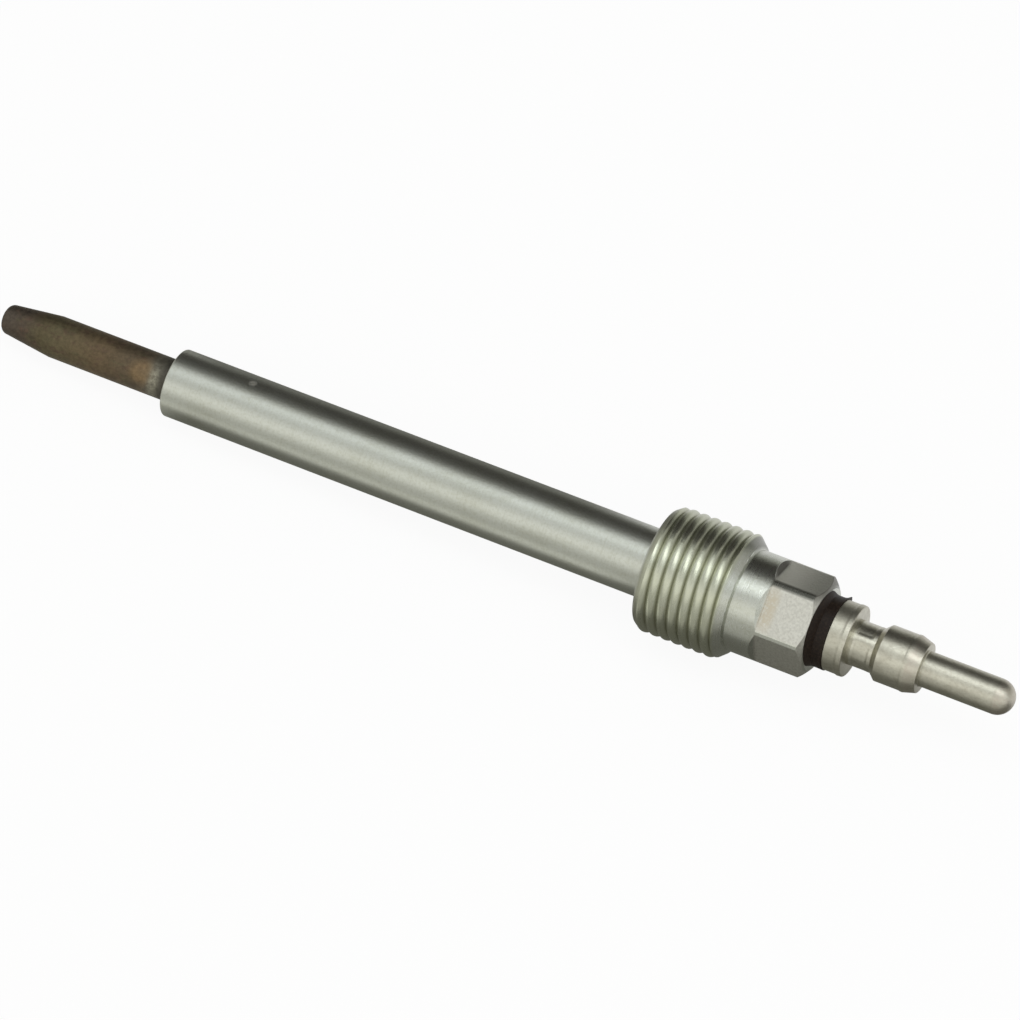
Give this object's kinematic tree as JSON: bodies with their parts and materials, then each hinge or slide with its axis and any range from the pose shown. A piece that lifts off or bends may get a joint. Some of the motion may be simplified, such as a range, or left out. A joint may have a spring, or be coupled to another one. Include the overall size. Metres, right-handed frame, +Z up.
{
  "type": "diesel glow plug",
  "caption": "Diesel glow plug with a tapered heater tube, long round shank, screw thread, hexagon, insulating washer and push-on pin terminal.",
  "frame": {"origin": "on the ground below the middle of the plug's overall box, as it lies at rest", "axes": "+X along the plug towards its pin, +Z up; the plug's axis lies in the XZ plane and rises 3.09 degrees towards +X, because the plug rests on its thread and the end of its shank"},
  "size_m": [0.1204, 0.014, 0.0144],
  "materials": {
    "body_steel": "satin plated steel with fine turning lines",
    "tube_alloy": "heat-tinted brown alloy, straw and pale blue next to the shank",
    "coil_alloy": "drawn resistance wire",
    "powder": "packed white oxide powder",
    "tube_seal": "matt silicone",
    "rod_steel": "drawn steel",
    "seal_rubber": "matt black rubber",
    "insulator": "dull brown-black moulded plastic",
    "terminal_metal": "dull nickel plating with turning lines"
  },
  "bodies": {
    "root": {"plug_body": "body_steel", "glow_tube": "tube_alloy", "heating_coil": "coil_alloy", "regulating_coil": "coil_alloy", "filling_powder": "powder", "tube_seal": "tube_seal", "terminal_rod": "rod_steel", "body_seal": "seal_rubber", "insulating_washer": "insulator", "terminal_cap": "terminal_metal"}
  },
  "joints": []
}
